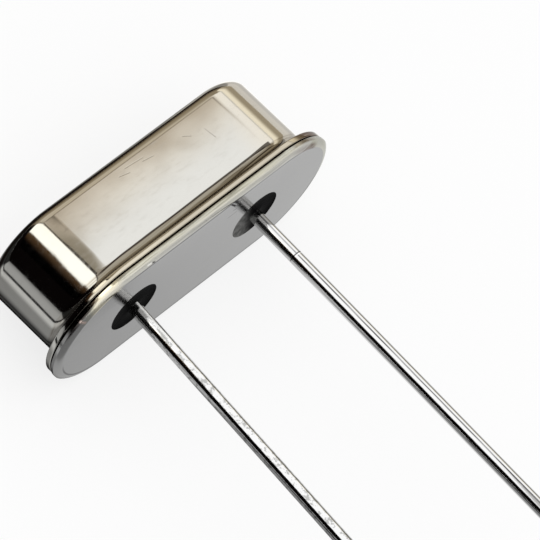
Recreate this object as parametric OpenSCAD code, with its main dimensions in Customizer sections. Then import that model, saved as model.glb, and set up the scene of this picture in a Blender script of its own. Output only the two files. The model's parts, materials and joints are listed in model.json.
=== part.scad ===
// Low-profile quartz crystal in a leaded metal can.
//
// Each piece is drawn upright: X along the long side, Y through the thickness,
// Z up through the can, with Z = 0 on the seating face and the leads below it.
// The last step lays the whole crystal on its back, on the flange's edge and
// the can's top edge, with the can's crown towards +Y and the leads towards -Y.

/* [Can] */
// Length of the can over its round ends
can_l = 10; // [8.3:0.05:12]
// Thickness of the can over its flat faces
can_w = 3.76; // [3.1:0.02:4.4]
// Height of the crown above the seating face
can_h = 3.34; // [2.7:0.02:4.2]
// Thickness of the drawn sheet
sheet_t = 0.2; // [0.12:0.01:0.24]
// Radius of the crown's edge
crown_r = 0.41; // [0.3:0.01:0.6]
// Height of the flare where the wall turns out into the flange
flare_h = 0.4; // [0.25:0.01:0.6]
// How far out that flare reaches
flare_out = 0.25; // [0.15:0.01:0.26]
// Rounding of the flange's trimmed edge
trim_r = 0.05; // [0.02:0.01:0.08]

/* [Base] */
// How far the base's rim stands out beyond the can's wall
rim_out = 0.455; // [0.42:0.005:0.6]
// How far the flange's edge stays inside the rim's edge
flange_in = 0.02; // [0:0.005:0.04]
// Thickness of the rim, up to the weld
rim_t = 0.26; // [0.22:0.01:0.5]
// How far the rolled lower edge of the rim reaches in under the base
roll_in = 0.27; // [0.15:0.01:0.35]
// Height of that rolled edge on the rim's wall
roll_h = 0.12; // [0.06:0.01:0.14]
// Height of the raised middle above the rim
boss_h = 0.45; // [0.35:0.01:0.7]
// Rounding of the raised middle's upper edge
boss_r = 0.1; // [0.05:0.01:0.2]
// Gap between the raised middle and the can's inner wall
boss_gap = 0.06; // [0.03:0.01:0.15]
// Height of the seam that stays open round the weld
seam_h = 0.04; // [0.02:0.01:0.06]
// Depth of the open seam
seam_d = 0.1; // [0.05:0.01:0.12]

/* [Seals and leads] */
// Distance between the leads' centres
pitch = 4.88; // [4.5:0.01:5.9]
// Diameter of a glass seal
seal_d = 1.74; // [1.3:0.02:2.1]
// Depth of the dished ring in each face of a seal
dish_h = 0.03; // [0.01:0.005:0.05]
// Diameter of a lead
lead_d = 0.43; // [0.35:0.01:0.52]
// Length of each lead below the seating face, along the wire
lead_l = 12.8; // [4:0.1:20]
// Lean of the left lead towards the left
lean_left = 4.3; // [0.5:0.1:8]
// Lean of the right lead towards the left
lean_right = 2.2; // [0.5:0.1:8]
// Radius, on the wire's centre line, at which a lead leans
lean_r = 0.6; // [0.4:0.05:2]
// Chamfer round the cut end of a lead
cut_c = 0.03; // [0.01:0.01:0.08]
// Diameter of the flat head on a lead's inner end
head_d = 0.8; // [0.6:0.02:1]
// Thickness of that head
head_t = 0.12; // [0.08:0.01:0.16]
// Height at which the head stands clear of its seal
head_gap = 0.1; // [0.05:0.01:0.2]

/* [Clips] */
// Thickness of the clip strip
clip_t = 0.1; // [0.06:0.01:0.12]
// Width of the clip strip
clip_w = 1.1; // [0.9:0.05:1.4]
// Inside radius of the clip's bend
clip_r = 0.1; // [0.05:0.01:0.15]
// How far the clip's foot reaches past the lead's centre
foot_in = 0.45; // [0.3:0.01:0.6]
// Distance from the plate's end back to the clip's outer face
grip = 0.25; // [0.24:0.01:0.4]
// How far the clip's prongs stop short of the plate's upper edge
prong_gap = 0.12; // [0.05:0.01:0.2]
// Running gap between the slot and the coated plate, each side
slot_gap = 0.03; // [0.01:0.005:0.05]
// Radius of a dot of conductive adhesive
dot_r = 0.24; // [0.2:0.01:0.27]
// How far a dot laps down over the electrode's tab and the prongs
dot_lap = 0.1; // [0.05:0.01:0.15]
// Height of a dot's rounded top above the plate's upper edge
dot_crown = 0.12; // [0.06:0.01:0.16]

/* [Quartz plate] */
// Gap between each end of the quartz plate and the can's inner wall
end_gap = 0.8; // [0.6:0.05:1.1]
// Gap between the plate's upper edge and the inside of the crown
top_gap = 0.33; // [0.2:0.01:0.5]
// Thickness of the quartz plate
quartz_t = 0.14; // [0.08:0.01:0.3]
// Gap between the quartz plate and the clips' feet
quartz_gap = 0.12; // [0.08:0.01:0.2]
// Thickness of each electrode film
film_t = 0.02; // [0.01:0.005:0.03]
// Length of an electrode's patch
patch_l = 4.6; // [3:0.1:5.4]
// Bare quartz above and below an electrode's patch
patch_edge = 0.23; // [0.2:0.01:0.4]
// Height of the tab that joins a patch to its clip
tab_h = 0.5; // [0.3:0.02:0.7]

/* [Hidden] */
$fn = 96;

// Everything with round ends is built on one straight core of this length
core_l = can_l - can_w;
can_hw = can_w / 2;
rim_hw = can_hw + rim_out;
flange_hw = rim_hw - flange_in;
flange_z = rim_t + sheet_t;

// Centres of the flare and of the crown's edge, as [distance from the core, height]
flare_c = [can_hw + flare_out, flange_z + flare_h];
crown_c = [can_hw - crown_r, can_h - crown_r];

roll_x = rim_hw - roll_in;
boss_hw = can_hw - sheet_t - boss_gap;
boss_z = rim_t + boss_h;

lead_r = lead_d / 2;
seal_r = seal_d / 2;
head_z = boss_z + head_gap;
foot_z = head_z + head_t;

// The quartz plate takes the room that the clips and the can leave it
quartz_l = can_l - 2 * (sheet_t + end_gap);
quartz_z = foot_z + clip_t + quartz_gap;
quartz_top = can_h - sheet_t - top_gap;
quartz_h = quartz_top - quartz_z;
patch_h = quartz_h - 2 * patch_edge;
quartz_mid = quartz_z + quartz_h / 2;
riser_x = quartz_l / 2 - grip;
slot_w = quartz_t + 2 * (film_t + slot_gap);
prong_z = quartz_top - prong_gap;

// Lying down: the common tangent of the flange's upper corner and the crown's edge meets the floor
corner_c = [flange_hw - trim_r, flange_z - trim_r];
rest_run = crown_c.y - corner_c.y;
rest_drop = corner_c.x - crown_c.x;
rest_a = atan2(rest_drop, rest_run)
    - asin((crown_r - trim_r) / norm([rest_run, rest_drop]));
rest_h = corner_c.x * cos(rest_a) + corner_c.y * sin(rest_a) + trim_r;

// The lead ends and the crown set the middle of the footprint
function tip_z(lean) = lean_r * sin(lean) + (lead_l - lean_r * lean * PI / 180) * cos(lean);
function tip_y(lean) = -tip_z(lean) * cos(rest_a)
    - (lead_r - cut_c) * norm([sin(lean) * cos(rest_a), sin(rest_a)]);
foot_y = min(tip_y(lean_left), tip_y(lean_right));
crown_y = crown_c.y * cos(rest_a) + crown_c.x * sin(rest_a) + crown_r;

// Steps down the flare's elliptical curve
flare_steps = 12;
// How far a cut runs past the face that it opens
cut = 0.1;

// ---- Shapes that repeat ----

// Radius of an arc that rises this far over this run from where it lies level
function arc_r(run, rise) = (pow(run, 2) + pow(rise, 2)) / (2 * rise);

// A quarter of a ring about a centre, on the side that the signs x and y point to
module quarter(c, r_in, r_out, x, y) {
    translate(c) difference() {
        intersection() {
            circle(r_out);
            scale([x, y]) square(r_out);
        }
        if (r_in > 0) circle(r_in);
    }
}

// A straight strip between two corners
module strip(low, high) {
    translate(low) square(high - low);
}

// Takes a half section to a long shape with round ends: straight along the core, turned at each end
module racetrack() {
    rotate([90, 0, 90]) linear_extrude(core_l, center = true) {
        children();
        mirror([1, 0]) children();
    }
    for (side = [-1, 1])
        translate([side * core_l / 2, 0, 0])
            rotate([0, 0, -side * 90]) rotate_extrude(angle = 180) children();
}

// Lays what was drawn upright on its back, with the footprint's middle at the origin
module lying() {
    translate([0, -(foot_y + crown_y) / 2, rest_h])
        rotate([-90 - rest_a, 0, 0]) children();
}

// ---- Sections ----

// Points down the flare on one side of the sheet, t further from the flare's centre
function flare_side(t) = [for (i = [0:flare_steps]) let (a = 90 * i / flare_steps)
    flare_c - [(flare_out + t) * cos(a), (flare_h + t) * sin(a)]];

function reversed(list) = [for (i = [len(list) - 1:-1:0]) list[i]];

// The can's sheet, from the middle of the crown round to the flange's trimmed edge
module can_section() {
    strip([0, can_h - sheet_t], [crown_c.x, can_h]);
    quarter(crown_c, crown_r - sheet_t, crown_r, 1, 1);
    strip([can_hw - sheet_t, flare_c.y], [can_hw, crown_c.y]);
    polygon(concat(flare_side(0), reversed(flare_side(sheet_t))));
    strip([flare_c.x, rim_t], [flange_hw - trim_r, flange_z]);
    strip([flange_hw - trim_r, rim_t + trim_r], [flange_hw, flange_z - trim_r]);
    quarter([flange_hw - trim_r, flange_z - trim_r], 0, trim_r, 1, 1);
    quarter([flange_hw - trim_r, rim_t + trim_r], 0, trim_r, 1, -1);
}

// The stamped base: rolled lower edge, rim, open seam, weld land and raised middle
module base_section() {
    roll_r = arc_r(roll_in, roll_h);
    strip([0, 0], [roll_x, rim_t - seam_h]);
    intersection() {
        translate([roll_x, roll_r]) circle(roll_r);
        strip([roll_x, 0], [rim_hw, rim_t - seam_h]);
    }
    strip([0, rim_t - seam_h], [rim_hw - seam_d, rim_t]);
    strip([0, rim_t], [boss_hw, boss_z - boss_r]);
    strip([0, boss_z - boss_r], [boss_hw - boss_r, boss_z]);
    quarter([boss_hw - boss_r, boss_z - boss_r], 0, boss_r, 1, 1);
}

// One face of a glass seal, dished between the lead and the base
module dish() {
    half = (seal_r - lead_r) / 2;
    r = arc_r(half, dish_h);
    intersection() {
        translate([lead_r + half, dish_h - r]) circle(r);
        strip([lead_r, -cut], [seal_r, r]);
    }
}

// ---- Pieces, drawn upright ----

module can_upright() racetrack() can_section();

module base_upright() {
    difference() {
        racetrack() base_section();
        for (side = [-1, 1])
            translate([side * pitch / 2, 0, -cut]) cylinder(r = seal_r, h = boss_z + 2 * cut);
    }
}

module seal_upright(side) {
    translate([side * pitch / 2, 0, 0]) rotate_extrude() difference() {
        strip([lead_r, 0], [seal_r, boss_z]);
        dish();
        translate([0, boss_z]) mirror([0, 1]) dish();
    }
}

// One lead: headed inner end, straight through its seal, then leaning as it has been handled
module lead_upright(side, lean) {
    straight = lead_l - lean_r * lean * PI / 180;
    translate([side * pitch / 2, 0, 0]) {
        translate([0, 0, head_z]) cylinder(d = head_d, h = head_t);
        cylinder(r = lead_r, h = head_z);
        translate([-lean_r, 0, 0]) {
            rotate([-90, 0, 0]) rotate_extrude(angle = lean) translate([lean_r, 0]) circle(lead_r);
            rotate([0, lean, 0]) translate([lean_r, 0, 0]) {
                translate([0, 0, cut_c - straight]) cylinder(r = lead_r, h = straight - cut_c);
                translate([0, 0, -straight]) cylinder(r1 = lead_r - cut_c, r2 = lead_r, h = cut_c);
            }
        }
    }
}

// One clip: a foot on the lead's head, a bend, and a slotted riser that takes the plate's end
module clip_upright(side) {
    bend_x = riser_x - clip_t - clip_r;
    bend_z = foot_z + clip_t + clip_r;
    mirror([side < 0 ? 1 : 0, 0, 0]) difference() {
        translate([0, clip_w / 2, 0]) rotate([90, 0, 0]) linear_extrude(clip_w) {
            strip([pitch / 2 - foot_in, foot_z], [bend_x, foot_z + clip_t]);
            quarter([bend_x, bend_z], clip_r, clip_r + clip_t, 1, -1);
            strip([riser_x - clip_t, bend_z], [riser_x, prong_z]);
        }
        translate([bend_x, -slot_w / 2, quartz_z - slot_gap]) cube([grip + clip_t + clip_r, slot_w, quartz_h]);
    }
}

module quartz_upright() {
    translate([-quartz_l / 2, -quartz_t / 2, quartz_z]) cube([quartz_l, quartz_t, quartz_h]);
}

// One electrode: a patch in the middle of a face, with a tab along its upper edge out to one end.
// The front one (-1) runs out to the left clip and the back one (1) to the right clip.
module electrode_upright(side) {
    translate([0, side * (quartz_t + film_t) / 2 + film_t / 2, quartz_mid])
        rotate([90, 0, 0]) linear_extrude(film_t) {
            square([patch_l, patch_h], center = true);
            translate([side < 0 ? -quartz_l / 2 : 0, patch_h / 2 - tab_h]) square([quartz_l / 2, tab_h]);
        }
}

// One dot of adhesive: it wraps the prongs and the tab, and closes over the plate's upper edge
module adhesive_upright(side) {
    low = min(prong_z, quartz_mid + patch_h / 2) - dot_lap;
    difference() {
        translate([side * (riser_x - clip_t / 2), 0, 0]) rotate_extrude() {
            strip([0, low], [dot_r, quartz_top]);
            strip([0, quartz_top], [dot_r - dot_crown, quartz_top + dot_crown]);
            quarter([dot_r - dot_crown, quartz_top], 0, dot_crown, 1, 1);
        }
        clip_upright(side);
        quartz_upright();
        electrode_upright(side);
    }
}

// ---- Nodes ----

module can() color([0.83, 0.81, 0.75]) lying() can_upright();
module base_plate() color([0.64, 0.64, 0.64]) lying() base_upright();
module glass_seal_left() color([0.07, 0.07, 0.06]) lying() seal_upright(-1);
module glass_seal_right() color([0.07, 0.07, 0.06]) lying() seal_upright(1);
module lead_left() color([0.78, 0.78, 0.78]) lying() lead_upright(-1, lean_left);
module lead_right() color([0.78, 0.78, 0.78]) lying() lead_upright(1, lean_right);
module clip_left() color([0.75, 0.72, 0.62]) lying() clip_upright(-1);
module clip_right() color([0.75, 0.72, 0.62]) lying() clip_upright(1);
module quartz_plate() color([0.88, 0.9, 0.92]) lying() quartz_upright();
module electrode_front() color([0.86, 0.86, 0.87]) lying() electrode_upright(-1);
module electrode_back() color([0.86, 0.86, 0.87]) lying() electrode_upright(1);
module adhesive_left() color([0.45, 0.44, 0.42]) lying() adhesive_upright(-1);
module adhesive_right() color([0.45, 0.44, 0.42]) lying() adhesive_upright(1);

can();
base_plate();
glass_seal_left();
glass_seal_right();
lead_left();
lead_right();
clip_left();
clip_right();
quartz_plate();
electrode_front();
electrode_back();
adhesive_left();
adhesive_right();
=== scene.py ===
# Low-profile quartz crystal: its can, base, seals and leads, the finishes of its pieces and a plain studio.
import json
import math

import bpy
from bpy.props import FloatProperty, FloatVectorProperty, PointerProperty
from bpy.types import Operator, Panel, PropertyGroup
from mathutils import Matrix, Vector


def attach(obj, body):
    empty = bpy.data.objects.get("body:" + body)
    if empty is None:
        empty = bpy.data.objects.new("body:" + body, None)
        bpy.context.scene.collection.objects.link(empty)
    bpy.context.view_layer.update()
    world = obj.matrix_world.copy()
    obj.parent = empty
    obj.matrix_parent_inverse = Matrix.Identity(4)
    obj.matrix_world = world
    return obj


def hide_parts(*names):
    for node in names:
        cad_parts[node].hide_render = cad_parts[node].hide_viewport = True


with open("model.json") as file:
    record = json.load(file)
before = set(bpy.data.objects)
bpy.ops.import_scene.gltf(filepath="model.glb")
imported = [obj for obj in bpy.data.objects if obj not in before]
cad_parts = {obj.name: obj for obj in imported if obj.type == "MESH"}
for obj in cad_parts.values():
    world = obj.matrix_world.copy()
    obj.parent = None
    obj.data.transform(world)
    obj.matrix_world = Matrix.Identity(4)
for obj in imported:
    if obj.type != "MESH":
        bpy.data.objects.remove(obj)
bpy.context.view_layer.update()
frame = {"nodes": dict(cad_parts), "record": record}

bl_info = {
    "name": "Leaded quartz crystal",
    "version": (1, 0, 0),
    "blender": (4, 5, 0),
    "location": "View3D > Sidebar > Crystal",
    "description": "Models the can, base, seals and leads of a low-profile quartz crystal around its frame",
    "category": "Add Mesh",
}

MM = 0.001
SIDES = {"left": -1, "right": 1}  # where across the base each lead stands
ROUND_END_STEPS = 72  # round each end of the can and the base
SEAL_STEPS = 96  # round each seal and the hole that it fills
WIRE_STEPS = 64  # round each lead
BEND_STEPS = 4  # along the slight bend at a lead's root
RUN_STEPS = 24  # along a lead beyond that bend
DRILL_DEPTH = 4 * MM  # well over twice the base's height
MERGE_DISTANCE = MM / 2000
SMOOTH_ANGLE = 25  # degrees, up to which an edge is shaded smooth
FLOOR_SIZE = 6  # metres
FLOOR_GLOW = 0.78  # share of plain white in the floor, as the camera, metal and glass see it
MOUNTS = {mount["name"]: mount for mount in frame["record"]["mounts"]}


def laid():
    """The crystal's own upright frame, Z up through the can from its seating face, as the frame lays it."""
    seat = MOUNTS["seating_face"]
    up = -Vector(seat["axis"]).normalized()
    across = Vector((1, 0, 0))
    matrix = Matrix((across, up.cross(across), up)).transposed().to_4x4()
    matrix.translation = Vector(seat["pos_m"])
    return matrix


LAID = laid()
UPRIGHT = LAID.inverted()


def lead_way(side):
    """The direction in which the lead on one side runs out, in the upright frame."""
    return (UPRIGHT.to_3x3() @ Vector(MOUNTS[f"lead_{side}"]["axis"])).normalized()


def lead_slope(side):
    """How far across the lead on one side leans for each unit of height."""
    way = lead_way(side)
    return way.x / way.z


def length(name, description, default_mm):
    """A length that the user can change, with its default in millimetres."""
    return FloatProperty(name=name, description=description, default=default_mm * MM, min=0, unit="LENGTH",
                         precision=5)


def tint(name, description, default):
    """A colour that the user can change."""
    return FloatVectorProperty(name=name, description=description, default=default, min=0, max=1, size=3,
                               subtype="COLOR")


class CrystalSizes(PropertyGroup):
    """Sizes of the can, the base, the seals and the leads."""

    can_length: length("Can length", "Length of the can over its round ends", 10)
    can_thickness: length("Can thickness", "Thickness of the can over its flat faces", 3.76)
    can_height: length("Can height", "Height of the crown above the seating face", 3.34)
    sheet: length("Sheet", "Thickness of the drawn sheet", 0.2)
    crown: length("Crown radius", "Radius of the crown's edge", 0.41)
    flare_height: length("Flare height", "Height over which the wall turns out into the flange", 0.4)
    flare_reach: length("Flare reach", "How far out the flare reaches", 0.25)
    trim: length("Trimmed edge", "Rounding of the flange's edge", 0.05)
    rim_out: length("Rim width", "How far the base's rim stands out beyond the can's wall", 0.455)
    flange_in: length("Flange setback", "How far the flange's edge stays inside the rim's edge", 0.02)
    rim_height: length("Rim height", "Thickness of the rim, up to the weld", 0.26)
    roll_reach: length("Roll reach", "How far the rim's rolled lower edge reaches in under the base", 0.27)
    roll_height: length("Roll height", "Height of that rolled edge on the rim's wall", 0.12)
    boss_height: length("Boss height", "Height of the raised middle above the rim", 0.45)
    boss_round: length("Boss rounding", "Rounding of the raised middle's upper edge", 0.1)
    boss_gap: length("Boss gap", "Gap between the raised middle and the can's inner wall", 0.06)
    seam_height: length("Seam height", "Height of the seam that stays open round the weld", 0.04)
    seam_depth: length("Seam depth", "Depth of the open seam", 0.1)
    pitch: length("Pitch", "Distance between the leads' centres", 4.88)
    seal: length("Seal diameter", "Diameter of a glass seal", 1.74)
    dish: length("Dish", "Depth of the dished ring in each face of a seal", 0.03)
    bend: length("Bend radius", "Radius, on the wire's centre line, at which a lead leans", 0.6)
    cut: length("Cut end", "Chamfer round the cut end of a lead", 0.03)
    head: length("Head diameter", "Diameter of the flat head on a lead's inner end", 0.8)
    head_height: length("Head height", "Thickness of that head", 0.12)
    head_gap: length("Head gap", "Height at which the head stands clear of its seal", 0.1)


class CrystalLooks(PropertyGroup):
    """Colours of the crystal's finishes and of the studio."""

    can_metal: tint("Can", "Plated nickel silver of the can", (0.60, 0.593, 0.56))
    can_warm: tint("Can, warm", "Warmer plating towards the crown and the right end", (0.625, 0.58, 0.495))
    heat: tint("Heat tint", "Straw tint that the weld leaves on the flange and the rim", (0.56, 0.50, 0.38))
    base_metal: tint("Base", "Nickel plate on the base", (0.44, 0.44, 0.435))
    rim_metal: tint("Rim", "Faint straw tint along the rim", (0.495, 0.485, 0.40))
    lead_metal: tint("Leads", "Plating on the wires", (0.74, 0.74, 0.74))
    glass: tint("Seal glass", "Fused sealing glass", (0.004, 0.004, 0.004))
    clip_metal: tint("Clips", "Stamped strip of the clips", (0.62, 0.58, 0.48))
    quartz: tint("Quartz", "Lapped quartz plate", (0.82, 0.85, 0.88))
    silver: tint("Electrodes", "Evaporated silver film", (0.86, 0.86, 0.85))
    adhesive: tint("Adhesive", "Cured silver-filled adhesive", (0.36, 0.35, 0.33))
    floor: tint("Floor", "Pale surface that the crystal lies on", (0.86, 0.86, 0.86))
    sky: tint("Room", "Pale room round the crystal", (0.82, 0.82, 0.82))


# ---- Shader maths ----

class Value:
    """A number that a shader works out: an output socket with arithmetic."""

    def __init__(self, finish, socket):
        self.finish = finish
        self.socket = socket

    def _math(self, operation, *inputs):
        node = self.finish.node("ShaderNodeMath", {"operation": operation}, *inputs)
        return Value(self.finish, node.outputs[0])

    def __add__(self, other):
        return self._math("ADD", self, other)

    __radd__ = __add__

    def __sub__(self, other):
        return self._math("SUBTRACT", self, other)

    def __rsub__(self, other):
        return self._math("SUBTRACT", other, self)

    def __mul__(self, other):
        return self._math("MULTIPLY", self, other)

    __rmul__ = __mul__

    def __truediv__(self, other):
        return self._math("DIVIDE", self, other)

    def __pow__(self, other):
        return self._math("POWER", self, other)

    def __abs__(self):
        return self._math("ABSOLUTE", self)

    def least(self, other):
        """The lesser of two numbers."""
        return self._math("MINIMUM", self, other)

    def most(self, other):
        """The greater of two numbers."""
        return self._math("MAXIMUM", self, other)

    def between(self, low, high):
        """0 below low, 1 above high and a smooth rise between them, or a fall where low is the greater."""
        node = self.finish.node("ShaderNodeMapRange", {"interpolation_type": "SMOOTHSTEP"},
                                self, low, high, 0.0, 1.0)
        return Value(self.finish, node.outputs[0])

    def within(self, start, full, fade, end):
        """1 from full to fade, 0 before start and beyond end, and smooth in between."""
        return self.between(start, full) * self.between(end, fade)


class Finish:
    """A material under construction."""

    def __init__(self, name):
        self.material = bpy.data.materials.new(name)
        self.material.use_nodes = True
        self.tree = self.material.node_tree
        self.tree.nodes.clear()

    def node(self, kind, settings=None, *inputs, **named):
        """Adds a node, sets it up, then feeds its sockets by order or by name."""
        node = self.tree.nodes.new(kind)
        for key, value in (settings or {}).items():
            setattr(node, key, value)
        for index, value in enumerate(inputs):
            self.feed(node.inputs[index], value)
        for key, value in named.items():
            self.feed(node.inputs[key.replace("_", " ")], value)
        return node

    def feed(self, socket, value):
        """Links a socket or sets it, and leaves it as it is where the value is None."""
        if value is None:
            return
        if isinstance(value, Value):
            value = value.socket
        if isinstance(value, bpy.types.NodeSocket):
            self.tree.links.new(value, socket)
        elif socket.type == "RGBA":
            socket.default_value = (*value, 1)
        else:
            socket.default_value = value

    def position(self, turn=(0, 0, 0), scale=(1, 1, 1)):
        """Object coordinates in the upright frame, in millimetres, then turned and scaled for a pattern."""
        place = self.node("ShaderNodeTexCoord").outputs["Object"]
        moved = self.node("ShaderNodeMapping", {"vector_type": "TEXTURE"}, place,
                          tuple(LAID.translation), tuple(LAID.to_euler()), (MM, MM, MM))
        return self.node("ShaderNodeMapping", {"vector_type": "POINT"}, moved.outputs[0],
                         None, turn, scale).outputs[0]

    def axes(self, vector):
        """The three numbers of a vector."""
        parts = self.node("ShaderNodeSeparateXYZ", None, vector).outputs
        return [Value(self, part) for part in parts]

    def card_axes(self):
        """The place on a card, across it and up it, each from -0.5 to 0.5."""
        return self.axes(self.node("ShaderNodeTexCoord").outputs["Object"])[:2]

    def noise(self, vector, scale, detail, roughness):
        """Soft random clouds from 0 to 1, with a number of them to a millimetre."""
        node = self.node("ShaderNodeTexNoise", None, Vector=vector, Scale=scale, Detail=detail,
                         Roughness=roughness)
        return Value(self, node.outputs[0])

    def mix(self, amount, first, second):
        """A colour between two, by amount."""
        node = self.node("ShaderNodeMix", {"data_type": "RGBA"}, Factor=amount)
        # Its sockets for colours come after those for numbers and vectors.
        self.feed(node.inputs[6], first)
        self.feed(node.inputs[7], second)
        return node.outputs[2]

    def bump(self, height, distance, normal=None):
        """A bumped normal: height 1 stands a distance in millimetres above 0, or below it if negative."""
        return self.node("ShaderNodeBump", None, Strength=1.0, Distance=distance * MM, Height=height,
                         Normal=normal).outputs[0]

    def scratch(self, vector, start, end, width):
        """1 on a straight scratch between two points of the vector's XY plane, fading over its width."""
        x, y, _ = self.axes(vector)
        run = Vector(end) - Vector(start)
        along = ((x - start[0]) * run.x + (y - start[1]) * run.y) / run.length_squared
        along = along.most(0).least(1)
        off = ((x - start[0] - along * run.x) ** 2 + (y - start[1] - along * run.y) ** 2) ** 0.5
        return off.between(width, 0)

    def glow(self, colour):
        """A shader that shines as brightly as its colour says."""
        return self.node("ShaderNodeEmission", None, colour, 1).outputs[0]

    def surface(self, shader):
        """The finished material, on any shader."""
        self.node("ShaderNodeOutputMaterial", None, Surface=shader)
        return self.material

    def principled(self, **sockets):
        """The finished material, on one Principled shader."""
        return self.surface(self.node("ShaderNodeBsdfPrincipled", **sockets).outputs[0])


# ---- Finishes ----

def can_finish(looks, s):
    """Drawn and plated sheet: soft waves, a warm crown, painted shade over the flare, the weld's tint,
    painted shade in the open weld seam and handling marks.
    """
    f = Finish("can_metal")
    place = f.position()
    across, through, height = f.axes(place)
    front = through.between(0, -0.1)
    # Heights of the weld, of the flange's top and of the foot of the wall.
    weld = s.rim_height / MM
    flange = weld + s.sheet / MM
    wall = flange + s.flare_height / MM
    cloud = f.noise(place, 0.8, 3.0, 0.6)
    fine = f.noise(f.position(scale=(1, 1, 3)), 2.2, 3.0, 0.6)
    streaks = f.noise(f.position(scale=(0.3, 1, 14)), 2.0, 3.0, 0.6)
    waves = f.noise(place, 0.55, 1.5, 0.4)

    # The walls: warmer towards the crown and the right end, faintly clouded, with a few scratches in front.
    warm = (height.between(1.3, 3.0) * across.between(-4.2, -3.0)).most(across.between(2.4, 3.8))
    colour = f.mix(warm, looks.can_metal, looks.can_warm)
    heat = height.between(flange + 0.29, flange - 0.01) * across.between(-5.1, -4.3)
    colour = f.mix(heat * 0.8, colour, looks.heat)
    shade = cloud.between(0.5, 0.72) * 0.07 + fine.between(0.5, 0.75) * 0.05
    colour = f.mix(shade * height.between(0.8, 2.4), colour, (0.30, 0.25, 0.20))
    face = f.position(turn=(math.radians(-90), 0, 0))
    marks = f.scratch(face, (2.23, 2.34), (2.28, 1.95), 0.022)
    for start, end in (((-0.84, 2.70), (-0.50, 2.62)), ((-0.52, 2.80), (0.14, 2.745)),
                       ((0.05, 2.66), (0.42, 2.60)), ((1.55, 2.55), (1.75, 2.40))):
        marks = marks.most(f.scratch(face, start, end, 0.016))
    colour = f.mix(marks * 0.55, colour, (0.10, 0.08, 0.06))

    # The flare: painted shade darkens it, with lines along it, a painted shadow line along its lower part in
    # front and a painted dark line of shade where the front face begins.
    flare = height.within(flange + 0.02, flange + 0.10, wall - 0.08, wall)
    colour = f.mix(flare * (0.22 + streaks.between(0.45, 0.7) * 0.4), colour, (0.20, 0.155, 0.10))
    worked = across.within(-0.5, 1.5, 3.2, 3.5) * front
    colour = f.mix(flare * worked * streaks.between(0.50, 0.56) * 0.35, colour, (0.12, 0.09, 0.05))
    # Painted shadow line along the flare's lower part, where it meets the flange.
    flare_foot_shadow = abs(height - (flange + 0.145) - across.between(1.0, 3.2) * 0.095).between(0.028, 0.012)
    colour = f.mix(flare_foot_shadow * across.within(-2.4, 0.0, 3.2, 3.5) * front * 0.85, colour, (0.05, 0.035, 0.02))
    dull = height.between(flange + 0.03, flange - 0.01) * across.within(-2.2, -0.8, 3.4, 4.2) * front
    colour = f.mix(dull * 0.3, colour, (0.28, 0.25, 0.21))
    # Painted dark line of shade where the front face begins.
    lip = abs(height - (wall - 0.025) + across.between(-2.4, -3.8) * 0.07 - (waves - 0.5) * 0.05)
    lip = (lip - across.between(2.5, 3.3) * 0.035).between(0.036, 0.016)
    lip = lip * across.within(-3.7, -3.3, 3.36, 3.42) * front
    colour = f.mix(lip * 0.92, colour, (0.05, 0.04, 0.03))

    # The flange: smudged at the right end, darker at the left end, and painted shade along the open weld
    # seam.
    smudge = across.within(3.5, 4.3, 4.8, 5.0) * height.between(flange + 0.10, flange)
    colour = f.mix(smudge * (0.55 + streaks.between(0.35, 0.6) * 0.4), colour, (0.09, 0.045, 0.025))
    left_end_dark = height.between(weld + 0.10, weld + 0.04) * across.within(-5.3, -5.05, -4.6, -4.2)
    # Painted shade inside the open weld seam, joined by the darker left end in front.
    seam = height.between(weld + 0.022, weld + 0.008).most(left_end_dark * through.between(0, -0.2) * 0.9)
    colour = f.mix(seam, colour, (0.02, 0.015, 0.01))

    rough = 0.08 + fine.between(0.45, 0.8) * 0.06 + marks * 0.1
    normal = f.bump(marks, -0.002, f.bump(waves, 0.012))
    return f.principled(Base_Color=colour, Metallic=1.0, Roughness=rough, Normal=normal)


def past_roll(across, through, s):
    """How far out a point lies, in millimetres, past the line where the rim starts to roll up."""
    core = (s.can_length - s.can_thickness) / 2 / MM
    start = (s.can_thickness / 2 + s.rim_out - s.roll_reach) / MM
    beyond = (abs(across) - core).most(0)
    return (beyond ** 2 + through ** 2) ** 0.5 - start


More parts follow.
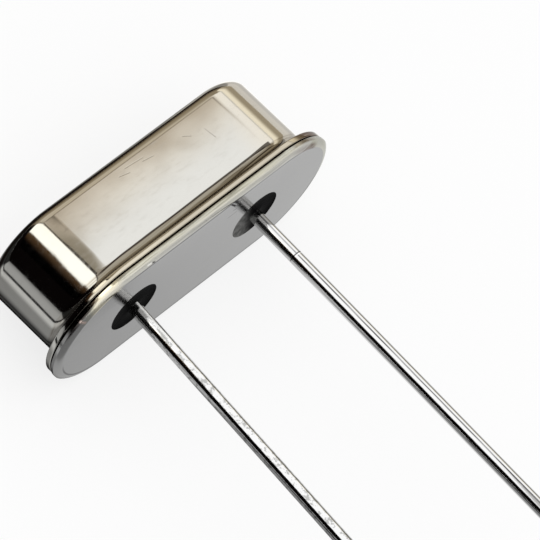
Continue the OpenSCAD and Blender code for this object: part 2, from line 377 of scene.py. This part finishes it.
def base_finish(looks, s):
    """Nickel-plated base: a satin underside, a tinted and streaked rim with a pale warm painted reflection, a
    painted dark line of shade along the crease with a painted highlight beside it, painted shade in the open
    seam, smears and a nick.
    """
    f = Finish("base_metal")
    place = f.position()
    across, through, height = f.axes(place)
    out = past_roll(across, through, s)
    front = through.between(-1.9, -2.0)
    # Heights of the weld and of the lower side of its open seam.
    weld = s.rim_height / MM
    seam = weld - s.seam_height / MM
    streaks = f.noise(f.position(scale=(0.35, 6, 9)), 2.0, 3.0, 0.6)
    cloud = f.noise(place, 1.1, 3.0, 0.6)

    # The rim: straw towards its edge, with a pale warm painted reflection and darker at the left end, smudged
    # at the right end.
    edge = f.mix(out.between(0.055, 0.175) * across.between(-3.2, -0.5), (0.60, 0.59, 0.50), looks.rim_metal)
    tinted = out.between(0.01, 0.055) * across.between(-4.9, -4.4) * through.between(1.6, 0.8)
    colour = f.mix(tinted * (0.7 + cloud.between(0.4, 0.6) * 0.3), looks.base_metal, edge)
    # Pale warm painted reflection on the rolled edge at the left front.
    left_corner_reflection = out.between(-0.085, -0.005) * across.within(-4.55, -4.3, -3.6, -3.3) * through.between(-1.4, -1.7)
    colour = f.mix(left_corner_reflection * 0.9, colour, (0.90, 0.84, 0.66))
    straight = abs(across).between(4.0, 3.2)
    colour = f.mix(tinted * straight * streaks.between(0.50, 0.58) * 0.6, colour, (0.24, 0.23, 0.19))
    left_end_dark = out.between(0.195, 0.255) * across.within(-5.25, -5.0, -4.6, -4.2) * through.between(0, -0.2)
    colour = f.mix(left_end_dark * 0.9, colour, (0.04, 0.03, 0.025))
    smudge = across.within(3.3, 3.8, 4.3, 4.7) * through.between(-1.4, -1.7)
    smudge = smudge * out.within(-0.035, 0.035, 0.135, 0.235).most(out.between(0.235, 0.265) * 0.6)
    colour = f.mix(smudge * (0.55 + streaks.between(0.35, 0.6) * 0.35), colour, (0.12, 0.07, 0.05))

    # Painted shade: a dark line along the crease in front, where the rim rolls under, and a paler painted
    # highlight beside it.
    fade = across.between(-3.4, -2.6) * (0.55 + across.between(2.2, 0.9) * 0.45)
    colour = f.mix(out.within(-0.053, -0.045, 0.015, 0.023) * front * fade, colour, (0.04, 0.04, 0.04))
    crease_highlight = out.between(-0.015, 0.025) * front * height.between(0.12, 0.08)
    colour = f.mix(crease_highlight * 0.55, colour, (0.62, 0.61, 0.58))

    # Marks: a nick with a bright fleck beside it, smears by the right seal, a tinted spot at the left end.
    nick = f.scratch(place, (-2.21, -2.15), (-2.14, -2.12), 0.055)
    fleck = f.scratch(place, (-2.40, -2.18), (-2.27, -2.17), 0.05)
    smears = f.scratch(place, (0.97, -2.05), (1.20, -1.75), 0.06)
    for start, end in (((1.02, -1.27), (1.36, -1.27)), ((1.16, -1.52), (1.30, -1.50))):
        smears = smears.most(f.scratch(place, start, end, 0.04) * 0.6)
    colour = f.mix(nick.most(smears * 0.8), colour, (0.02, 0.02, 0.02))
    colour = f.mix(fleck, colour, (0.95, 0.94, 0.90))
    colour = f.mix(f.scratch(place, (-4.80, -1.56), (-4.70, -1.50), 0.08), colour, (0.90, 0.72, 0.64))

    # Painted shade along the crease behind, and painted shade inside the open weld seam.
    shaded = out.within(-0.035, -0.02, 0.02, 0.035) * through.between(0.2, 0.9)
    colour = f.mix(shaded * 0.75, colour, (0.06, 0.06, 0.06))
    inside = height.within(seam - 0.018, seam - 0.006, weld - 0.002, weld + 0.012)
    colour = f.mix(inside, colour, (0.02, 0.015, 0.01))

    rough = 0.16 + streaks.between(0.4, 0.8) * 0.08
    normal = f.bump(nick.most(smears), -0.004, f.bump(f.noise(place, 0.7, 1.5, 0.4), 0.004))
    return f.principled(Base_Color=colour, Metallic=1.0, Roughness=rough, Normal=normal)


def lead_finish(looks, s):
    """Drawn and plated wire: fine lines, painted dark reflection lines down the front, a nick on the right
    lead, specks, and a painted highlight at the left one's root, made matt white.
    """
    f = Finish("lead_metal")
    lines = f.noise(f.position(scale=(16, 16, 0.3)), 1.5, 3.0, 0.6)
    spots = f.noise(f.position(scale=(1, 1, 0.7)), 8.0, 4.0, 0.7)
    across, through, height = f.axes(f.position())
    front = through.between(0.05, -0.05)
    right = across.between(-0.1, 0.1)

    # How far across a point lies from the middle of its own lead, which leans.
    pitch = s.pitch / MM
    slope = lead_slope("left") + right * (lead_slope("right") - lead_slope("left"))
    off = across + pitch / 2 - right * pitch - height * slope

    colour = f.mix(spots.between(0.51, 0.58) * (1 - right) * 0.8, looks.lead_metal, (0.34, 0.34, 0.33))
    # Painted dark reflections: a stripe down the right lead's front, and a darker line along the right side
    # of each lead.
    reflection_stripe = off.within(-0.045, -0.03, 0.0, 0.015) * front * right
    limb_shade = off.within(0.075, 0.09, 0.12, 0.14) * front
    notch = height.within(-1.765, -1.75, -1.73, -1.715) * front * right
    dark = (reflection_stripe * (0.5 + lines.between(0.4, 0.6) * 0.4)).most(limb_shade * 0.6).most(notch * 0.9)
    colour = f.mix(dark, colour, (0.04, 0.04, 0.04))
    tick = height.within(-1.80, -1.79, -1.78, -1.77) * through.between(-0.1, -0.14) * right
    colour = f.mix(tick, colour, (0.95, 0.95, 0.95))
    # Painted highlight at the left lead's root: a matt white patch on its front right side.
    matt = height.between(-1.7, -1.3) * off.within(-0.02, 0.05, 0.08, 0.11) * (1 - right)
    colour = f.mix(matt * 0.9, colour, (0.95, 0.95, 0.93))
    rough = 0.08 + spots.between(0.5, 0.8) * 0.12
    return f.principled(Base_Color=colour, Metallic=1.0 - matt * 0.85, Roughness=rough,
                        Normal=f.bump(lines, 0.0012))


def glass_finish(looks, s):
    """Fused black sealing glass with a slightly uneven skin, and a painted pale reflection on the right
    seal's inner half.
    """
    f = Finish("seal_glass")
    skin = f.noise(f.position(), 6.0, 3.0, 0.6)
    across, through, _ = f.axes(f.position())
    # Painted pale reflection on the right seal's inner half, over the glass's uneven skin.
    seal_reflection = (across - s.pitch / 2 / MM - through * 0.25).between(-0.05, -0.6) * across.between(0, 1)
    pale = skin.between(0.45, 0.75) * 0.02 + seal_reflection * (0.5 + skin.between(0.4, 0.6) * 0.3)
    colour = f.mix(pale, looks.glass, (0.18, 0.18, 0.174))
    rough = 0.2 + skin.between(0.4, 0.8) * 0.15
    return f.principled(Base_Color=colour, Roughness=rough, IOR=1.03, Specular_IOR_Level=0.2,
                        Normal=f.bump(skin, 0.004))


def clip_finish(looks):
    """Stamped strip with rolling lines."""
    f = Finish("clip_metal")
    lines = f.noise(f.position(scale=(1, 12, 1)), 4.0, 3.0, 0.6)
    return f.principled(Base_Color=f.mix(lines.between(0.3, 0.8) * 0.3, looks.clip_metal, (0.45, 0.42, 0.35)),
                        Metallic=1.0, Roughness=0.25 + lines * 0.1, Normal=f.bump(lines, 0.001))


def quartz_finish(looks):
    """Lapped quartz: clear, with a frosted surface."""
    f = Finish("quartz")
    frost = f.noise(f.position(), 40.0, 2.0, 0.6)
    return f.principled(Base_Color=looks.quartz, Roughness=0.35 + frost * 0.2, Transmission_Weight=0.7,
                        IOR=1.544, Normal=f.bump(frost, 0.001))


def film_finish(looks):
    """Evaporated silver film, slightly hazy."""
    f = Finish("electrode_film")
    haze = f.noise(f.position(), 5.0, 3.0, 0.6)
    return f.principled(Base_Color=f.mix(haze.between(0.4, 0.8) * 0.3, looks.silver, (0.7, 0.68, 0.62)),
                        Metallic=1.0, Roughness=0.15 + haze * 0.15)


def adhesive_finish(looks):
    """Cured adhesive, grey with silver flakes."""
    f = Finish("adhesive")
    flakes = f.noise(f.position(), 30.0, 2.0, 0.6)
    return f.principled(Base_Color=looks.adhesive, Metallic=flakes.between(0.5, 0.6) * 0.8,
                        Roughness=0.5, Normal=f.bump(flakes, 0.01))


# ---- Modelling ----

def deselect():
    """Leaves edit mode and selects nothing."""
    if bpy.context.object and bpy.context.object.mode != "OBJECT":
        bpy.ops.object.mode_set(mode="OBJECT")
    bpy.ops.object.select_all(action="DESELECT")


def begin(name, point):
    """A new piece that is one vertex at a point, left in edit mode with that vertex selected."""
    deselect()
    bpy.ops.mesh.primitive_plane_add(size=MM, location=point)
    piece = bpy.context.object
    piece.name = name
    bpy.ops.object.mode_set(mode="EDIT")
    bpy.ops.mesh.select_mode(type="VERT")
    bpy.ops.mesh.select_all(action="SELECT")
    bpy.ops.mesh.merge(type="CENTER")
    return piece


def extrude(step):
    """Extrudes the selection by a step."""
    bpy.ops.mesh.extrude_region_move(TRANSFORM_OT_translate={"value": tuple(step)})


def draw_section(name, points):
    """Draws a section by extruding one vertex from point to point, and leaves it all selected."""
    piece = begin(name, points[0])
    for here, there in zip(points, points[1:]):
        extrude(Vector(there) - Vector(here))
    bpy.ops.mesh.select_all(action="SELECT")
    return piece


def arc(centre, across, tall, start, end, steps):
    """Points along a stretch of an ellipse, with angles in degrees from the X axis."""
    turns = [math.radians(start + (end - start) * i / steps) for i in range(steps + 1)]
    return [(centre[0] + across * math.cos(t), centre[1] + tall * math.sin(t)) for t in turns]


def sweep_racetrack(name, outline, core):
    """A long shape with round ends: a half section at the right end's front corner, taken once round."""
    piece = draw_section(name, [(core / 2, -out, z) for out, z in outline])
    for side in (1, -1):
        middle = (side * core / 2, 0, 0)
        bpy.ops.mesh.spin(steps=ROUND_END_STEPS, angle=-math.pi, center=middle, axis=(0, 0, 1))
        extrude((-side * core, 0, 0))
    return piece


def knit():
    """Merges the doubles of the piece in edit mode, turns its faces outwards and leaves edit mode."""
    bpy.ops.mesh.select_all(action="SELECT")
    bpy.ops.mesh.remove_doubles(threshold=MERGE_DISTANCE)
    bpy.ops.mesh.normals_make_consistent(inside=False)
    bpy.ops.object.mode_set(mode="OBJECT")


def close_up(piece):
    """Knits the piece in edit mode, lays it in the frame and shades it."""
    knit()
    piece.matrix_world = LAID @ piece.matrix_world
    bpy.ops.object.transform_apply(location=True, rotation=True, scale=True)
    bpy.ops.object.shade_smooth_by_angle(angle=math.radians(SMOOTH_ANGLE))


def weight_normals(piece):
    """Keeps the flat faces flat beside their rounded edges."""
    modifier = piece.modifiers.new("weighted", "WEIGHTED_NORMAL")
    modifier.keep_sharp = True
    bpy.ops.object.modifier_apply(modifier=modifier.name)


def finish_piece(piece, material, node):
    """Gives a piece its material and its place on the body, and hides the CAD node that it stands for."""
    piece.data.materials.clear()
    piece.data.materials.append(material)
    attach(piece, "root")
    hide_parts(node)


def repaint(node, material):
    """Gives a CAD node's own object a better material."""
    obj = frame["nodes"][node]
    for slot in obj.material_slots:
        slot.material = material


def can_outline(s):
    """The can's sheet, from the middle of the crown out round the flange and back inside."""
    half = s.can_thickness / 2
    flange = s.rim_height + s.sheet
    edge = half + s.rim_out - s.flange_in
    crown = (half - s.crown, s.can_height - s.crown)
    flare = (half + s.flare_reach, flange + s.flare_height)
    return [
        (0, s.can_height),
        *arc(crown, s.crown, s.crown, 90, 0, 16),
        *arc(flare, s.flare_reach, s.flare_height, 180, 270, 24),
        *arc((edge - s.trim, flange - s.trim), s.trim, s.trim, 90, 0, 5),
        *arc((edge - s.trim, s.rim_height + s.trim), s.trim, s.trim, 0, -90, 5),
        *arc(flare, s.flare_reach + s.sheet, s.flare_height + s.sheet, 270, 180, 12),
        *arc(crown, s.crown - s.sheet, s.crown - s.sheet, 0, 90, 8),
        (0, s.can_height - s.sheet),
    ]


def base_outline(s):
    """The base, from the middle of its raised part out over the seam and the rolled rim to the underside."""
    half = s.can_thickness / 2
    boss = half - s.sheet - s.boss_gap
    top = s.rim_height + s.boss_height
    rim = half + s.rim_out
    edge = s.trim / 3
    roll = (s.roll_reach ** 2 + s.roll_height ** 2) / (2 * s.roll_height)
    turn = math.degrees(math.asin(s.roll_reach / roll))
    return [
        (0, top),
        *arc((boss - s.boss_round, top - s.boss_round), s.boss_round, s.boss_round, 90, 0, 6),
        (boss, s.rim_height),
        (rim - s.seam_depth, s.rim_height),
        (rim - s.seam_depth, s.rim_height - s.seam_height),
        *arc((rim - edge, s.rim_height - s.seam_height - edge), edge, edge, 90, 0, 5),
        *arc((rim - s.roll_reach, roll), roll, roll, turn - 90, -90, 12),
        (0, 0),
    ]


def seal_outline(s, wire):
    """One glass seal, as a closed ring section round its lead, dished on both faces."""
    middle = (s.seal / 2 + wire) / 2
    half = (s.seal / 2 - wire) / 2
    top = s.rim_height + s.boss_height
    return [
        *arc((middle, 0), half, s.dish, 180, 0, 16),
        *arc((middle, top), half, -s.dish, 0, 180, 16),
        (wire, 0),
    ]


class CRYSTAL_OT_can(Operator):
    """Drawn can: crown, walls, flare and flange in one sheet"""

    bl_idname = "crystal.can"
    bl_label = "Can"

    def execute(self, context):
        s = context.scene.crystal_sizes
        piece = sweep_racetrack("can_shell", can_outline(s), s.can_length - s.can_thickness)
        close_up(piece)
        weight_normals(piece)
        finish_piece(piece, can_finish(context.scene.crystal_looks, s), "can")
        return {"FINISHED"}


class CRYSTAL_OT_base(Operator):
    """Stamped base with its rolled rim, open weld seam and two holes for the seals"""

    bl_idname = "crystal.base"
    bl_label = "Base plate"

    def execute(self, context):
        s = context.scene.crystal_sizes
        piece = sweep_racetrack("base", base_outline(s), s.can_length - s.can_thickness)
        knit()
        for sign in SIDES.values():
            self.drill(piece, sign * s.pitch / 2, s.seal / 2)
        bpy.ops.object.mode_set(mode="EDIT")
        close_up(piece)
        weight_normals(piece)
        finish_piece(piece, base_finish(context.scene.crystal_looks, s), "base_plate")
        return {"FINISHED"}

    def drill(self, piece, x, radius):
        """Cuts one round hole up through the base."""
        deselect()
        bpy.ops.mesh.primitive_cylinder_add(vertices=SEAL_STEPS, radius=radius, depth=DRILL_DEPTH,
                                            location=(x, 0, 0))
        drill = bpy.context.object
        deselect()
        bpy.context.view_layer.objects.active = piece
        piece.select_set(True)
        modifier = piece.modifiers.new("hole", "BOOLEAN")
        modifier.object = drill
        modifier.operation = "DIFFERENCE"
        modifier.solver = "EXACT"
        bpy.ops.object.modifier_apply(modifier=modifier.name)
        bpy.data.objects.remove(drill)


class CRYSTAL_OT_seals(Operator):
    """Two dished glass seals between the base and the leads"""

    bl_idname = "crystal.seals"
    bl_label = "Glass seals"

    def execute(self, context):
        s = context.scene.crystal_sizes
        material = glass_finish(context.scene.crystal_looks, s)
        for side, sign in SIDES.items():
            wire = MOUNTS[f"lead_{side}"]["dims"]["r_mm"] * MM
            centre = sign * s.pitch / 2
            piece = draw_section(f"seal_{side}", [(centre + out, 0, z) for out, z in seal_outline(s, wire)])
            bpy.ops.mesh.spin(steps=SEAL_STEPS, angle=2 * math.pi, center=(centre, 0, 0), axis=(0, 0, 1))
            close_up(piece)
            finish_piece(piece, material, f"glass_seal_{side}")
        return {"FINISHED"}


class CRYSTAL_OT_leads(Operator):
    """Two wires: a flat head inside, straight through the seal, a slight lean and a cut end"""

    bl_idname = "crystal.leads"
    bl_label = "Leads"

    def execute(self, context):
        s = context.scene.crystal_sizes
        material = lead_finish(context.scene.crystal_looks, s)
        for side, sign in SIDES.items():
            piece = self.wire(s, side, sign * s.pitch / 2)
            finish_piece(piece, material, f"lead_{side}")
        return {"FINISHED"}

    def wire(self, s, side, centre):
        """One lead, drawn down from its head along the direction that its mount gives."""
        dims = MOUNTS[f"lead_{side}"]["dims"]
        radius = dims["r_mm"] * MM
        run = dims["length_mm"] * MM
        way = lead_way(side)
        lean = math.asin(-way.x)
        neck = s.rim_height + s.boss_height + s.head_gap
        deselect()
        bpy.ops.mesh.primitive_circle_add(vertices=WIRE_STEPS, radius=s.head / 2, fill_type="NOTHING",
                                          location=(centre, 0, neck + s.head_height))
        piece = bpy.context.object
        piece.name = f"wire_{side}"
        bpy.ops.object.mode_set(mode="EDIT")
        bpy.ops.mesh.select_all(action="SELECT")
        extrude((0, 0, -s.head_height))
        self.shrink((centre, 0, neck), 2 * radius / s.head)
        extrude((0, 0, -neck))
        bpy.ops.mesh.spin(steps=BEND_STEPS, angle=-lean, center=(centre - s.bend, 0, 0), axis=(0, 1, 0))
        for _ in range(RUN_STEPS):
            extrude(way * run / RUN_STEPS)
        mouth = Vector((centre - s.bend, 0, 0)) + s.bend * Vector((math.cos(lean), 0, -math.sin(lean)))
        self.shrink(mouth + way * run, 1 - s.cut / radius, way * s.cut)
        bpy.ops.mesh.select_all(action="SELECT")
        bpy.ops.mesh.fill_holes(sides=0)
        close_up(piece)
        return piece

    def shrink(self, centre, share, step=(0, 0, 0)):
        """Extrudes the selected ring by a step and scales it about its centre."""
        extrude(step)
        middle = Vector(centre) + Vector(step)
        bpy.ops.transform.resize(value=(share, share, share), center_override=tuple(middle))


class CRYSTAL_OT_inside(Operator):
    """Finishes of the clips, the quartz plate, its electrodes and the adhesive"""

    bl_idname = "crystal.inside"
    bl_label = "Inner pieces"

    def execute(self, context):
        looks = context.scene.crystal_looks
        finishes = {"clip": clip_finish, "quartz": quartz_finish, "electrode": film_finish,
                    "adhesive": adhesive_finish}
        for start, make in finishes.items():
            material = make(looks)
            for node in frame["nodes"]:
                if node.startswith(start):
                    repaint(node, material)
        return {"FINISHED"}


# ---- Studio ----

CAMERA = {"distance": 135 * MM, "lens": 318.9, "aim": (1.3184 * MM, 2.9528 * MM, 2.903 * MM),
          "azimuth": 77.757, "elevation": 59.894, "roll": 38.139}


def around(across, along, above):
    """A point in millimetres from the seating face's middle: across, towards the crown and above the can."""
    return LAID @ (Vector((across, -above, along)) * MM)


def hang(obj):
    """Makes a card one that only reflections see."""
    obj.visible_camera = obj.visible_diffuse = obj.visible_shadow = False


def card(name, low, right, high, material):
    """A flat card through three corners, each in millimetres from the seating face's middle."""
    low, right, high = (around(*corner) for corner in (low, right, high))
    side, rise = right - low, high - low
    deselect()
    bpy.ops.mesh.primitive_plane_add(size=1)
    obj = bpy.context.object
    obj.name = name
    matrix = Matrix((side, rise, side.cross(rise).normalized())).transposed().to_4x4()
    matrix.translation = (right + high) / 2
    obj.matrix_world = matrix
    obj.data.materials.append(material)
    hang(obj)


def plain_card(name, colour):
    """A card of one colour."""
    f = Finish(name)
    return f.surface(f.glow(colour))


def ramp_card(name, low, high, start, end):
    """A card that turns from one colour at its lower edge to another higher up."""
    f = Finish(name)
    _, y = f.card_axes()
    return f.surface(f.glow(f.mix(y.between(start, end), low, high)))


def low_card(name):
    """A card before the base that only its mirror image of the leads sees: grey, then black to the left."""
    f = Finish(name)
    x, _ = f.card_axes()
    return f.surface(f.glow(f.mix(x.between(-0.10, -0.14), (0.62, 0.61, 0.60), (0.01, 0.01, 0.01))))


def mask_card(name, middle, size):
    """The card over the can: a bright strip between dark edges, tan shades beside it, and clear elsewhere."""
    f = Finish(name)
    x, y = f.card_axes()
    across = x * size[0] + middle[0]
    along = y * size[1] + middle[1]
    wave = f.noise(f.node("ShaderNodeCombineXYZ", None, 0.0, along, 0.0).outputs[0], 1.6, 2.0, 0.5)
    can = along.between(8.2, 8.8)
    lean = across + (11.2 - along).most(0) * 4.0
    left = lean.between(14.2, 11.2) * can
    near = lean.between(12.6, 8.0) * can
    top = ((along - (across - 20).most(0) * 0.14 - 10.3) / 2.45).most(0).least(1)
    top = top ** 3 * across.between(30.0, 20.0)
    edge = across + (1.1 - abs(along - 10.9)).most(0) * 2.0 + (wave - 0.5) * 9
    dark = edge.between(-16.2, -16.9) * can + across.between(-22.5, -26.5) * (1 - can)
    strip = across.between(-2.9, -3.4) * can
    line = (across - along.between(12.0, 10.6) * 1.1).between(-1.5, -1.9) * across.between(-3.4, -2.9) * can
    rule = along.within(13.2, 13.6, 15.2, 16.2) * across.within(-3.0, 2.0, 22.0, 26.0)
    far = along.between(12.5, 24.0)
    tan = f.mix(top, (0.70, 0.65, 0.57), f.mix(far, (0.68, 0.61, 0.52), (0.70, 0.65, 0.55)))
    tan = f.mix(near * (1 - top), tan, (0.38, 0.33, 0.25))
    colour = f.mix(line.most(rule * 0.8), tan, (0.04, 0.03, 0.02))
    colour = f.mix(strip, colour, (1.78, 1.76, 1.66))
    brown = f.mix(edge.between(-17.0, -30.0).most(1 - can), (0.10, 0.055, 0.025), (0.0, 0.0, 0.0))
    colour = f.mix(dark, colour, brown)
    cover = left.most(top).most(dark).most(strip).most(line)
    clear = f.node("ShaderNodeBsdfTransparent").outputs[0]
    return f.surface(f.node("ShaderNodeMixShader", None, cover, clear, f.glow(colour)).outputs[0])


def ground_card(name, size):
    """The card on the floor that reflections see in its place: painted shade below the base, stepped beside
    the can, a painted shadow under the can, and dark beyond it.
    """
    f = Finish(name)
    x, y = (part * size for part in f.card_axes())
    beside = y.between(4.0, 4.8)
    shade = 0.54 + x.between(-6.0, 8.0) * 0.21 + y.between(1.5, -3.0) * x.between(-6.0, -3.0) * 0.3
    right = 0.70 + x.between(10.3, 16.0) * 0.18 + x.between(9.0, 6.4) * 0.65
    shade = shade + x.between(5.2, 6.0) * beside * (right - shade)
    left = 0.02 + x.between(-5.0, -6.2) * 0.30 + x.between(-7.4, -9.0) * 0.40 - x.between(-9.6, -13.0) * 0.22
    left = left - x.between(-13.0, -60.0) * 0.18
    left = left * (1 - x.within(-12.4, -11.9, -10.6, -10.2) * 0.96)
    left = left * (1 - (y + x * 0.35).between(7.0, 8.5) * 0.94)
    shade = shade + x.between(-4.8, -5.2) * beside * (left - shade)
    # Painted shadow of the can on the floor, as reflections see it.
    shade = shade * (1 - x.within(-5.2, -4.8, 5.6, 6.2) * beside * y.between(9.5, 8.5) * 0.95)
    shade = shade + y.between(2.8, 1.8) * (0.82 - x.between(0.8, -1.5) * 0.54 - shade)
    shade = shade * (1 - x.between(-9.0, -13.0) * y.between(4.2, 3.2) * 0.96)
    shade = shade * (1 - (y - x * 0.5).between(6.2, 7.2) * x.between(-5.6, -5.0) * 0.55)
    beyond = (y - x * 0.5).between(11.5, 13.0) * x.between(-9.0, -6.0)
    far = f.mix(y.between(30, 110), (0.008, 0.006, 0.005), (0.09, 0.065, 0.04))
    colour = f.mix(beyond, f.mix(shade / 1.5, (0, 0, 0), (1.5, 1.5, 1.5)), far)
    return f.surface(f.glow(colour))


class CRYSTAL_OT_stage(Operator):
    """Pale floor, soft overhead light, cards for the metal to reflect, and the camera"""

    bl_idname = "crystal.stage"
    bl_label = "Studio"

    def execute(self, context):
        looks = context.scene.crystal_looks
        self.room(context, looks)
        self.lights()
        self.cards()
        self.camera(context)
        return {"FINISHED"}

    def room(self, context, looks):
        """A floor that takes the crystal's shadow, and a pale room round it."""
        deselect()
        bpy.ops.mesh.primitive_plane_add(size=FLOOR_SIZE, location=(0, 0, 0))
        floor = bpy.context.object
        floor.name = "floor"
        f = Finish("floor")
        rays = f.node("ShaderNodeLightPath").outputs
        seen = Value(f, rays["Is Camera Ray"]) + Value(f, rays["Is Glossy Ray"])
        seen = (seen + Value(f, rays["Is Transmission Ray"])).least(1) * FLOOR_GLOW
        matt = f.node("ShaderNodeBsdfDiffuse", None, looks.floor).outputs[0]
        shader = f.node("ShaderNodeMixShader", None, seen, matt, f.glow((1, 1, 1))).outputs[0]
        floor.data.materials.append(f.surface(shader))
        world = bpy.data.worlds.new("room")
        world.use_nodes = True
        background = world.node_tree.nodes["Background"]
        background.inputs["Color"].default_value = (*looks.sky, 1)
        background.inputs["Strength"].default_value = 1
        context.scene.world = world

    def lights(self):
        """One broad soft lamp overhead."""
        deselect()
        bpy.ops.object.light_add(type="AREA", location=(0.12, 0, 0.25))
        lamp = bpy.context.object
        lamp.name = "overhead"
        lamp.data.shape = "RECTANGLE"
        lamp.data.size = 0.6
        lamp.data.size_y = 0.5
        lamp.data.energy = 0.46
        lamp.visible_camera = False

    def cards(self):
        """The cards round the crystal, and those before its base, over the can and on the floor."""
        black = plain_card("black_card", (0.003, 0.002, 0.002))
        card("card_left", (-150, -180, -2), (-150, 220, -2), (-150, -180, 190), black)
        card("card_beyond_left", (-320, 200, -20), (0, 200, -20), (-320, 200, 300), black)
        card("card_beyond", (0, 200, 30), (350, 200, 30), (0, 200, 300),
             ramp_card("brown_card", (0.09, 0.065, 0.04), (0.36, 0.31, 0.23), -0.5, -0.25))
        card("card_right", (200, -60, -8), (200, 160, -8), (200, -60, 118),
             ramp_card("side_card", (0.46, 0.41, 0.32), (1.28, 1.23, 1.08), -0.06, 0.30))
        card("card_near", (-40, -250, -20), (350, -250, -20), (-40, -250, 250),
             plain_card("pale_card", (1.2, 1.18, 1.12)))
        card("card_low", (-60, -44, 30), (60, -44, 30), (-60, -4.5, 30), low_card("low_card"))
        middle, size = (-5, 15), (80, 58)
        card("mask", (middle[0] - size[0] / 2, middle[1] - size[1] / 2, 30),
             (middle[0] + size[0] / 2, middle[1] - size[1] / 2, 30),
             (middle[0] - size[0] / 2, middle[1] + size[1] / 2, 30), mask_card("mask", middle, size))
        self.ground()

    def ground(self):
        """Lays the card on the floor, in the frame's own axes."""
        size = 320
        deselect()
        bpy.ops.mesh.primitive_plane_add(size=1, location=(0, 0, 0.02 * MM))
        obj = bpy.context.object
        obj.name = "card_ground"
        obj.scale = (size * MM, size * MM, 1)
        obj.data.materials.append(ground_card("ground", size))
        hang(obj)

    def camera(self, context):
        """A camera with a long lens, placed by its aim, distance, direction and roll."""
        azimuth = math.radians(CAMERA["azimuth"])
        elevation = math.radians(CAMERA["elevation"])
        away = Vector((-math.cos(elevation) * math.sin(azimuth), -math.cos(elevation) * math.cos(azimuth),
                       math.sin(elevation)))
        data = bpy.data.cameras.new("camera")
        data.lens = CAMERA["lens"]
        data.sensor_width = 36
        data.clip_start = 0.001
        camera = bpy.data.objects.new("camera", data)
        context.scene.collection.objects.link(camera)
        upright_view = (-away).to_track_quat("-Z", "Y").to_matrix()
        rolled = upright_view @ Matrix.Rotation(math.radians(CAMERA["roll"]), 3, "Z")
        place = Vector(CAMERA["aim"]) + away * CAMERA["distance"]
        camera.matrix_world = Matrix.LocRotScale(place, rolled, None)
        context.scene.camera = camera
        context.scene.view_settings.view_transform = "Standard"


class CRYSTAL_PT_panel(Panel):
    """Sidebar panel with the crystal's sizes, colours and pieces"""

    bl_idname = "CRYSTAL_PT_panel"
    bl_label = "Quartz crystal"
    bl_space_type = "VIEW_3D"
    bl_region_type = "UI"
    bl_category = "Crystal"

    def draw(self, context):
        layout = self.layout
        for operator in OPERATORS:
            layout.operator(operator.bl_idname)
        for group in (context.scene.crystal_sizes, context.scene.crystal_looks):
            column = layout.column(align=True)
            for name in type(group).__annotations__:
                column.prop(group, name)


OPERATORS = (CRYSTAL_OT_can, CRYSTAL_OT_base, CRYSTAL_OT_seals, CRYSTAL_OT_leads, CRYSTAL_OT_inside,
             CRYSTAL_OT_stage)
CLASSES = (CrystalSizes, CrystalLooks, *OPERATORS, CRYSTAL_PT_panel)


def register():
    for cls in CLASSES:
        bpy.utils.register_class(cls)
    bpy.types.Scene.crystal_sizes = PointerProperty(type=CrystalSizes)
    bpy.types.Scene.crystal_looks = PointerProperty(type=CrystalLooks)


def unregister():
    del bpy.types.Scene.crystal_looks
    del bpy.types.Scene.crystal_sizes
    for cls in reversed(CLASSES):
        bpy.utils.unregister_class(cls)


def main():
    register()
    bpy.ops.crystal.can()
    bpy.ops.crystal.base()
    bpy.ops.crystal.seals()
    bpy.ops.crystal.leads()
    bpy.ops.crystal.inside()
    bpy.ops.crystal.stage()


if __name__ == "__main__":
    main()
